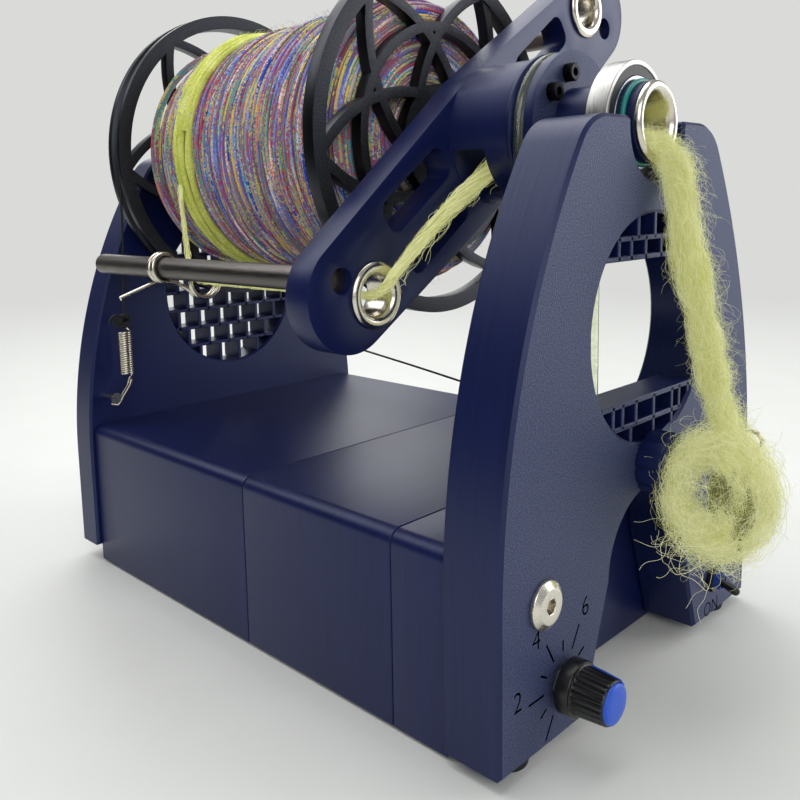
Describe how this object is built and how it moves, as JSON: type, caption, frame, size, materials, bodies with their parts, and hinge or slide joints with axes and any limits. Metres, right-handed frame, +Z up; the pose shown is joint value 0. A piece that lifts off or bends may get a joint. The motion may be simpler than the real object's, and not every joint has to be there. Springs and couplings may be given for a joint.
{
  "type": "electric yarn spinner",
  "caption": "Tabletop electric spinner: belt-driven flyer with sliding wire guides, braked bobbin with wound yarn, open uprights on a hollow base.",
  "frame": {"origin": "centre of the footprint, at table height", "axes": "+Z up, -Y towards the spinner's front face with the orifice, +Y along the spinning axis to the rear"},
  "size_m": [0.1758, 0.262, 0.2429],
  "materials": {
    "navy_print": "printed, fine layer lines",
    "cover_print": "printed",
    "black_print": "printed, fine layer lines",
    "foot_rubber": "matte",
    "bolt_nickel": "satin nickel",
    "bright_steel": "ground",
    "seal_rubber": "matte",
    "black_steel": "black oxide",
    "case_steel": "plated",
    "board": "lacquered board",
    "black_plastic": "moulded",
    "blue_plastic": "moulded",
    "switch_plastic": "moulded",
    "belt": "translucent polyurethane",
    "nickel": "nickel plated",
    "ring_rubber": "smooth",
    "rod_finish": "dark warm grey",
    "bush_plastic": "natural",
    "new_yarn": "spun wool",
    "wound_yarn": "space-dyed singles",
    "cord": "braided",
    "fibre": "combed wool"
  },
  "bodies": {
    "root": {"front_upright": "navy_print", "rear_upright": "navy_print", "base_front": "navy_print", "base_middle": "navy_print", "base_rear": "navy_print", "bottom_cover": "cover_print", "bottom_screws": "black_steel", "rubber_feet": "foot_rubber", "front_bolts": "bolt_nickel", "rear_bolts": "bolt_nickel", "front_bearing_outer": "bright_steel", "front_bearing_seals": "seal_rubber", "front_bearing_balls": "bright_steel", "rear_bearing_outer": "bright_steel", "motor": "case_steel", "motor_bracket": "cover_print", "motor_screws": "bright_steel", "control_board": "board", "board_screws": "bright_steel", "power_inlet": "black_plastic", "speed_pot": "case_steel", "pot_nut": "bright_steel", "switch_body": "switch_plastic", "switch_nut": "black_plastic", "drive_belt": "belt", "brake_cord": "cord", "brake_spring": "nickel", "brake_fittings": "nickel", "fibre_hook": "nickel", "fibre_roving": "fibre", "fibre_nest": "fibre"},
    "flyer": {"flyer_plate": "navy_print", "orifice_tube": "navy_print", "cap_screws": "black_steel", "orifice_eyelet": "nickel", "orifice_ring": "ring_rubber", "front_bearing_inner": "bright_steel", "rear_bearing_inner": "bright_steel", "flyer_rods": "rod_finish", "arm_eyelets": "nickel", "flyer_shaft": "bright_steel", "yarn_strand": "new_yarn"},
    "bobbin": {"bobbin_front_flange": "black_print", "bobbin_rear_flange": "black_print", "bobbin_core": "black_print", "bobbin_bushes": "bush_plastic", "yarn_core": "wound_yarn", "yarn_winding": "wound_yarn"},
    "motor_rotor": {"motor_shaft": "bright_steel", "motor_pulley": "navy_print", "pulley_grub_screw": "black_steel"},
    "knob": {"speed_knob": "black_plastic", "knob_cap": "blue_plastic", "pot_shaft": "bright_steel"},
    "switch": {"switch_lever": "black_plastic"},
    "guide_a": {"guide_lower": "nickel", "yarn_feed": "new_yarn"},
    "guide_b": {"guide_upper": "nickel"},
    "tension": {"tension_knob": "navy_print", "tension_shaft": "bright_steel"}
  },
  "joints": [
    {"name": "flyer_spin", "type": "hinge", "parent": "root", "child": "flyer", "pos_m": [0, 0, 0.176], "axis": [0, 1, 0], "continuous": true},
    {"name": "bobbin_spin", "type": "hinge", "parent": "flyer", "child": "bobbin", "pos_m": [0, 0, 0.176], "axis": [0, 1, 0], "continuous": true},
    {"name": "motor_spin", "type": "hinge", "parent": "root", "child": "motor_rotor", "pos_m": [0, 0, 0.032], "axis": [0, 1, 0], "continuous": true},
    {"name": "speed_knob_turn", "type": "hinge", "parent": "root", "child": "knob", "pos_m": [-0.048, 0, 0.02], "axis": [0, 1, 0], "range_deg": [-195, 105]},
    {"name": "switch_flip", "type": "hinge", "parent": "root", "child": "switch", "pos_m": [0.048, -0.1072, 0.018], "axis": [-1, 0, 0], "range_deg": [0, 40]},
    {"name": "guide_slide_lower", "type": "slide", "parent": "flyer", "child": "guide_a", "axis": [0, 1, 0], "range_m": [-0.077, 0.021], "deforming": ["yarn_strand"]},
    {"name": "guide_slide_upper", "type": "slide", "parent": "flyer", "child": "guide_b", "axis": [0, 1, 0], "range_m": [-0.057, 0.058]},
    {"name": "tension_turn", "type": "hinge", "parent": "root", "child": "tension", "pos_m": [0, 0, 0.073], "axis": [0, 1, 0], "range_deg": [-360, 360]}
  ],
  "couplings": [
    {"joint": "motor_spin", "follows": "flyer_spin", "ratio": 0.9458}
  ]
}
